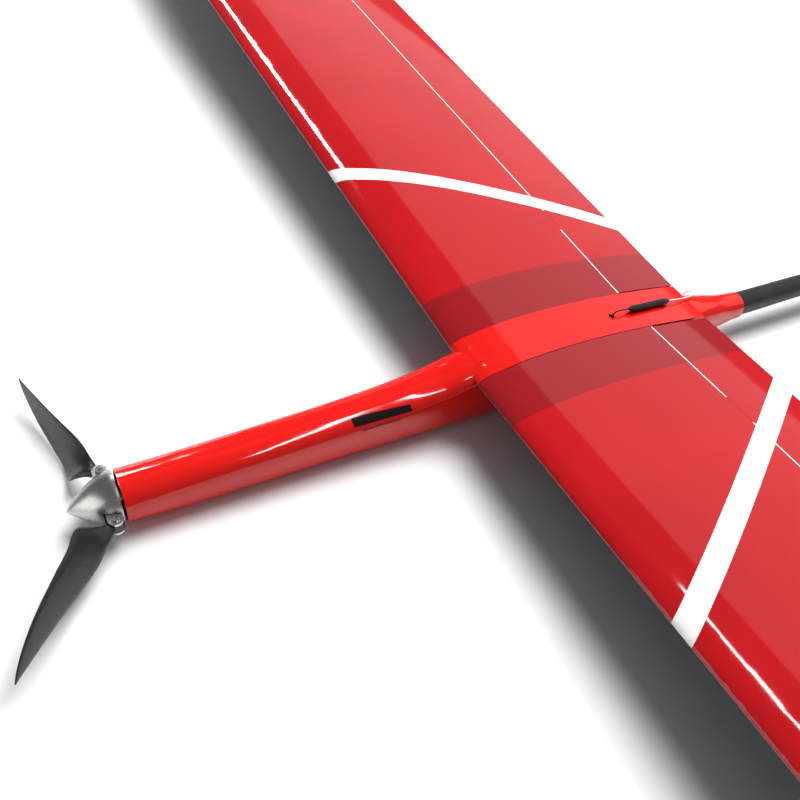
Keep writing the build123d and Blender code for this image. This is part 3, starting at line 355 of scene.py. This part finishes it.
MATERIALS = {
    "red_gelcoat_pod": pod_gelcoat(),
    "red_gelcoat_wing": wing_gelcoat(),
    "red_gelcoat_tail": plain_gelcoat("gelcoat_cherry", "BC0D16", "B20C15"),
    "red_gelcoat_cover": plain_gelcoat("gelcoat_cherry_covers", "B20C14", "A80B12"),
    "carbon_boom": carbon_tube(),
    "moulded_carbon_blade": woven_carbon(),
    "turned_aluminium": turned_aluminium(),
    "machined_aluminium": metal("machined_aluminium", "C9C9C6", "B5B5B2", 0.3),
    "milled_aluminium": metal("milled_aluminium", "E2E1DD", "D2D1CD", 0.24, 0.0012, 0.000001),
    "anodised_motor": metal("anodised_aluminium", "2A3A66", "22305A", 0.32),
    "plated_steel": metal("nickel_plated_steel", "CFCFCB", "B0B0AC", 0.2),
    "spring_steel": metal("drawn_spring_steel", "A9A8A4", "8B8A86", 0.28),
    "pultruded_carbon": plastic("pultruded_carbon", "17191B", "222528", 0.4, 0.0008, 0.00002, (1, 0.1, 1)),
    "glass_laminate": plastic("glass_epoxy_laminate", "B9B58C", "A6A27A", 0.45, 0.0009),
    "balsa_spar": plastic("balsa_and_carbon", "C9AE7C", "B4986A", 0.7, 0.0012, 0.00005, (0.15, 1, 1)),
    "nylon": plastic("moulded_nylon", "E6E4DC", "D6D4CC", 0.42),
    "servo_case": plastic("moulded_abs", "1B1C1E", "25272A", 0.45),
    "shrink_sleeve": plastic("heat_shrink_film", "1F2B52", "18233F", 0.35),
    "battery_wrap": plastic("pvc_battery_wrap", "2A63A8", "235690", 0.3),
    "receiver_case": plastic("frosted_polycarbonate", "D7D9DA", "C4C7C9", 0.4),
    "aerial_wire": aerial_insulation(),
    "aerial_sleeve": plastic("wound_black_tape", "141414", "232324", 0.5, 0.0007, 0.00025),
}
SEAL_WHITE = plastic("silicone_hinge_film", "F4F2EE", "E6E3DD", 0.4, 0.001, 0.00001)
TABLE_WHITE = plastic("white_laminate_board", "F7F8F8", "F2F4F5", 0.6, 0.004, 0.00001)
SLOTS = {part["node"]: part["material_slot"] for part in frame["record"]["subparts"]}


# --- the wing's shape -------------------------------------------------------

def wing_place(x):
    for (x0, le0, c0), (x1, le1, c1) in zip(WING_STATIONS, WING_STATIONS[1:]):
        if x <= x1 or x1 == WING_STATIONS[-1][0]:
            t = (x - x0) / (x1 - x0)
            return le0 + t * (le1 - le0), c0 + t * (c1 - c0)


def camber(s):
    if s < CAMBER_PEAK:
        return WING_CAMBER / CAMBER_PEAK ** 2 * (2 * CAMBER_PEAK * s - s * s)
    return WING_CAMBER / (1 - CAMBER_PEAK) ** 2 * ((1 - 2 * CAMBER_PEAK) + 2 * CAMBER_PEAK * s - s * s)


def wing_skin(x, t):
    """A point on the left wing: t runs from -1 under the trailing edge round the nose to 1 above it."""
    start_y, chord = wing_place(x)
    s = t * t
    root = abs(t)
    series = 0.2969 * root - 0.1260 * s - 0.3516 * s ** 2 + 0.2843 * s ** 3 - 0.1036 * s ** 4
    half = 5 * WING_THICKNESS * series * chord + TRAILING_EDGE / 2 * s
    middle = WING_ROOT_Z + WING_RISE * (x - WING_STATIONS[0][0]) + camber(s) * chord
    return Vector((x, start_y + s * chord, middle + math.copysign(half, t)))


def wing_normal(point):
    """The outward direction of the wing's skin beside a point of either wing."""
    x = abs(point.x)
    start_y, chord = wing_place(x)
    s = min(max((point.y - start_y) / chord, 0.0), 1.0)
    middle = WING_ROOT_Z + WING_RISE * (x - WING_STATIONS[0][0]) + camber(s) * chord
    t = math.copysign(math.sqrt(s), point.z - middle)
    along = wing_skin(x, min(t + SKIN_STEP, 1.0)) - wing_skin(x, max(t - SKIN_STEP, -1.0))
    out = wing_skin(x + SPAN_STEP, t) - wing_skin(x - SPAN_STEP, t)
    normal = out.cross(along).normalized()
    if point.x < 0:
        normal.x = -normal.x
    return normal


# --- the pod's shape --------------------------------------------------------

def pod_section(y):
    """Half width, bottom, top and power at y, on smooth curves through the sections."""
    last = len(POD_SECTIONS) - 2
    i = next((k for k in range(last) if y < POD_SECTIONS[k + 1][0]), last)
    a, b = POD_SECTIONS[i], POD_SECTIONS[i + 1]
    before, after = POD_SECTIONS[max(i - 1, 0)], POD_SECTIONS[min(i + 2, last + 1)]
    span = b[0] - a[0]
    t = (y - a[0]) / span
    values = []
    for k in range(1, 5):
        slope_a = (b[k] - before[k]) / (b[0] - before[0]) * span
        slope_b = (after[k] - a[k]) / (after[0] - a[0]) * span
        values.append((2 * t ** 3 - 3 * t ** 2 + 1) * a[k] + (t ** 3 - 2 * t ** 2 + t) * slope_a
                      + (3 * t ** 2 - 2 * t ** 3) * b[k] + (t ** 3 - t ** 2) * slope_b)
    return values


def pod_depth(point):
    """Below 1 inside the pod's rounded outline, above 1 outside it."""
    width, bottom, top, power = pod_section(point.y)
    rise = abs(point.z - (bottom + top) / 2) / ((top - bottom) / 2)
    return (abs(point.x) / width) ** power + rise ** power


def pod_normal(point):
    """The outward direction of the pod's skin, or of the saddle strip that follows the wing."""
    start_y, chord = WING_STATIONS[0][1:]
    if start_y < point.y < start_y + chord:
        share = math.sqrt((point.y - start_y) / chord)
        if abs(point.z - SADDLE_PROUD - wing_skin(WING_STATIONS[0][0], share).z) < SADDLE_REACH:
            back = wing_skin(WING_STATIONS[0][0], min(share + SKIN_STEP, 1.0))
            slope = back - wing_skin(WING_STATIONS[0][0], share - SKIN_STEP)
            return Vector((0, -slope.z, slope.y)).normalized()
    steps = [Vector([POD_STEP if i == k else 0.0 for i in range(3)]) for k in range(3)]
    return Vector([pod_depth(point + d) - pod_depth(point - d) for d in steps]).normalized()


# --- pieces -----------------------------------------------------------------

def finish_mesh(bm, name, body, material, replaces=()):
    mesh = bpy.data.meshes.new(name)
    bm.to_mesh(mesh)
    bm.free()
    obj = bpy.data.objects.new(name, mesh)
    bpy.context.scene.collection.objects.link(obj)
    mesh.materials.append(material)
    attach(obj, body)
    if replaces:
        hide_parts(*replaces)
    return obj


def polished(node, normal_of=None):
    """A smooth-shaded copy of a frame node, with the exact directions of its skin if they are known."""
    source = frame["nodes"][node]
    bm = bmesh.new()
    bm.from_mesh(source.data)
    bmesh.ops.remove_doubles(bm, verts=bm.verts, dist=WELD)
    bmesh.ops.dissolve_degenerate(bm, dist=SHORTEST_EDGE, edges=bm.edges)
    for face in bm.faces:
        face.smooth = True
    for edge in bm.edges:
        edge.smooth = edge.calc_face_angle(0.0) < math.radians(FOLD)
    obj = finish_mesh(bm, node + "_skin", source["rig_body"], MATERIALS[SLOTS[node]], (node,))
    if not normal_of:
        even = obj.modifiers.new("even_shading", "WEIGHTED_NORMAL")
        even.keep_sharp = True
    else:
        mesh = obj.data
        normals = [Vector((0, 0, 0))] * len(mesh.loops)
        for polygon in mesh.polygons:
            for i in polygon.loop_indices:
                wanted = normal_of(mesh.vertices[mesh.loops[i].vertex_index].co)
                if wanted.dot(polygon.normal) > SAME_SKIN:
                    normals[i] = wanted
        mesh.normals_split_custom_set(normals)


def set_camera():
    camera = bpy.data.objects.new("camera", bpy.data.cameras.new("camera"))
    bpy.context.scene.collection.objects.link(camera)
    forward = (CAMERA_AIM - CAMERA_AT).normalized()
    right = forward.cross(Vector((0, 0, 1))).normalized()
    up = right.cross(forward)
    c, s = math.cos(CAMERA_ROLL), math.sin(CAMERA_ROLL)
    right, up = right * c + up * s, up * c - right * s
    turn = Matrix((right, up, -forward)).transposed().to_4x4()
    camera.matrix_world = Matrix.Translation(CAMERA_AT) @ turn
    camera.data.lens = CAMERA_LENS
    camera.data.sensor_width = SENSOR_WIDTH
    camera.data.clip_start = CAMERA_NEAR
    bpy.context.scene.camera = camera


def lamp(name, place, aim, length, width, watts, heading, glossy=True, diffuse=True):
    data = bpy.data.lights.new(name, "AREA")
    data.shape = "RECTANGLE"
    data.size, data.size_y = length, width
    data.energy = watts
    obj = bpy.data.objects.new(name, data)
    bpy.context.scene.collection.objects.link(obj)
    obj.location = place
    turned = (Vector(aim) - Vector(place)).to_track_quat("-Z", "Y").to_matrix()
    obj.rotation_euler = (turned @ Matrix.Rotation(math.radians(heading), 3, "Z")).to_euler()
    obj.visible_camera = False
    obj.visible_glossy = glossy
    obj.visible_diffuse = diffuse


def set_stage():
    bpy.context.scene.view_settings.view_transform = "Standard"
    world = bpy.data.worlds.new("room")
    bpy.context.scene.world = world
    world.use_nodes = True
    back = world.node_tree.nodes["Background"]
    back.inputs["Color"].default_value = linear(ROOM_COLOUR)
    back.inputs["Strength"].default_value = ROOM_STRENGTH
    lamp(*WINDOW, glossy=False)
    for row in SHINE_LAMPS:
        lamp(*row, diffuse=False)

    bm = bmesh.new()
    bmesh.ops.create_grid(bm, x_segments=1, y_segments=1, size=TABLE_HALF_SIZE)
    mesh = bpy.data.meshes.new("table_top")
    bm.to_mesh(mesh)
    bm.free()
    floor = bpy.data.objects.new("table_top", mesh)
    floor.location.z = -TABLE_DROP
    bpy.context.scene.collection.objects.link(floor)
    mesh.materials.append(TABLE_WHITE)


def spline_curve(name, points, radius):
    curve = bpy.data.curves.new(name, "CURVE")
    curve.dimensions = "3D"
    curve.bevel_depth = radius
    curve.bevel_resolution = 5
    curve.use_fill_caps = True
    spline = curve.splines.new("NURBS")
    spline.points.add(len(points) - 1)
    for target, point in zip(spline.points, points):
        target.co = (*point, 1.0)
    spline.order_u = 3
    spline.use_endpoint_u = True
    spline.resolution_u = 12
    obj = bpy.data.objects.new(name, curve)
    bpy.context.scene.collection.objects.link(obj)
    return obj


def line_of(obj):
    """The points that a curve runs through."""
    depth, obj.data.bevel_depth = obj.data.bevel_depth, 0.0
    bpy.context.view_layer.update()
    mesh = bpy.data.meshes.new_from_object(obj.evaluated_get(bpy.context.evaluated_depsgraph_get()))
    points = [v.co.copy() for v in mesh.vertices]
    bpy.data.meshes.remove(mesh)
    obj.data.bevel_depth = depth
    return points


def make_aerial():
    wire = spline_curve("aerial_lead", AERIAL_ROUTE, AERIAL_DIAMETER / 2)
    points = line_of(wire)
    wire.data.materials.append(MATERIALS["aerial_wire"])
    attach(wire, "airframe")
    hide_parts("aerial_wire")

    # Black tape, wound round the wire's joint: a lumpy sausage with thin ends.
    core = [p for p in points if SLEEVE_FRONT_Y <= p.y <= SLEEVE_REAR_Y]
    bm = bmesh.new()
    rings = []
    for i, centre in enumerate(core):
        ahead = core[min(i + 1, len(core) - 1)] - core[max(i - 1, 0)]
        share = i / (len(core) - 1)
        swell = min(1.0, SLEEVE_END_SHARE + SLEEVE_SWELL * min(share, 1 - share))
        turn = ahead.to_track_quat("Z", "X").to_matrix().to_4x4()
        made = bmesh.ops.create_circle(bm, segments=28, radius=SLEEVE_RADIUS * swell,
                                       matrix=Matrix.Translation(centre) @ turn)
        rings.append(made["verts"])
    for a, b in zip(rings, rings[1:]):
        edges = [e for ring in (a, b) for v in ring for e in v.link_edges if e.other_vert(v) in ring]
        bmesh.ops.bridge_loops(bm, edges=list(set(edges)))
    for ring in (rings[0], rings[-1]):
        bmesh.ops.contextual_create(bm, geom=ring)
    bmesh.ops.subdivide_edges(bm, edges=bm.edges, cuts=1, use_grid_fill=True)
    bmesh.ops.recalc_face_normals(bm, faces=bm.faces)
    bm.normal_update()
    for vert in bm.verts:
        lump = sum(noise.noise(vert.co * many) * high for many, high in SLEEVE_LUMPS)
        vert.co += vert.normal * lump
    for face in bm.faces:
        face.smooth = True
    sleeve = finish_mesh(bm, "aerial_tape", "airframe", MATERIALS["aerial_sleeve"],
                         ("aerial_sleeve",))


def make_seals():
    """A white film closes the hinge gap on the upper skin, in runs that stop at a slot by the stripe."""
    for side, name in ((1, "left"), (-1, "right")):
        for number, (x0, x1) in enumerate(SEAL_RUNS):
            bm = bmesh.new()
            bmesh.ops.create_grid(bm, x_segments=24, y_segments=2, size=0.5)
            for vert in bm.verts:
                x = x0 + (vert.co.x + 0.5) * (x1 - x0)
                start_y, chord = wing_place(x)
                y = start_y + HINGE_SHARE * chord - SEAL_AHEAD + (vert.co.y + 0.5) * SEAL_WIDTH
                vert.co = wing_skin(x, math.sqrt((y - start_y) / chord)) + Vector((0, 0, SEAL_LIFT))
                vert.co.x *= side
            if side < 0:
                bmesh.ops.reverse_faces(bm, faces=bm.faces)
            made = bmesh.ops.extrude_face_region(bm, geom=bm.faces[:])
            down = [v for v in made["geom"] if isinstance(v, bmesh.types.BMVert)]
            bmesh.ops.translate(bm, verts=down, vec=(0, 0, -SEAL_THICKNESS))
            bmesh.ops.recalc_face_normals(bm, faces=bm.faces)
            finish_mesh(bm, f"hinge_film_{name}_{number + 1}", "airframe", SEAL_WHITE)


set_camera()
set_stage()
make_aerial()
make_seals()
for node_name, node_obj in frame["nodes"].items():
    for material_slot in node_obj.material_slots:
        material_slot.material = MATERIALS[SLOTS[node_name]]
for panel in ("wing", "flap", "aileron"):
    for hand in ("left", "right"):
        polished(f"{panel}_{hand}", normal_of=wing_normal)
polished("fuselage_pod", normal_of=pod_normal)
for shell in ("battery_hatch", "tail_boom", "v_tail_saddle", "v_tail_left", "v_tail_right",
              "ruddervator_left", "ruddervator_right", "blade_left", "blade_right", "spinner_cone",
              "spinner_backplate", "prop_yoke", "servo_covers"):
    polished(shell)
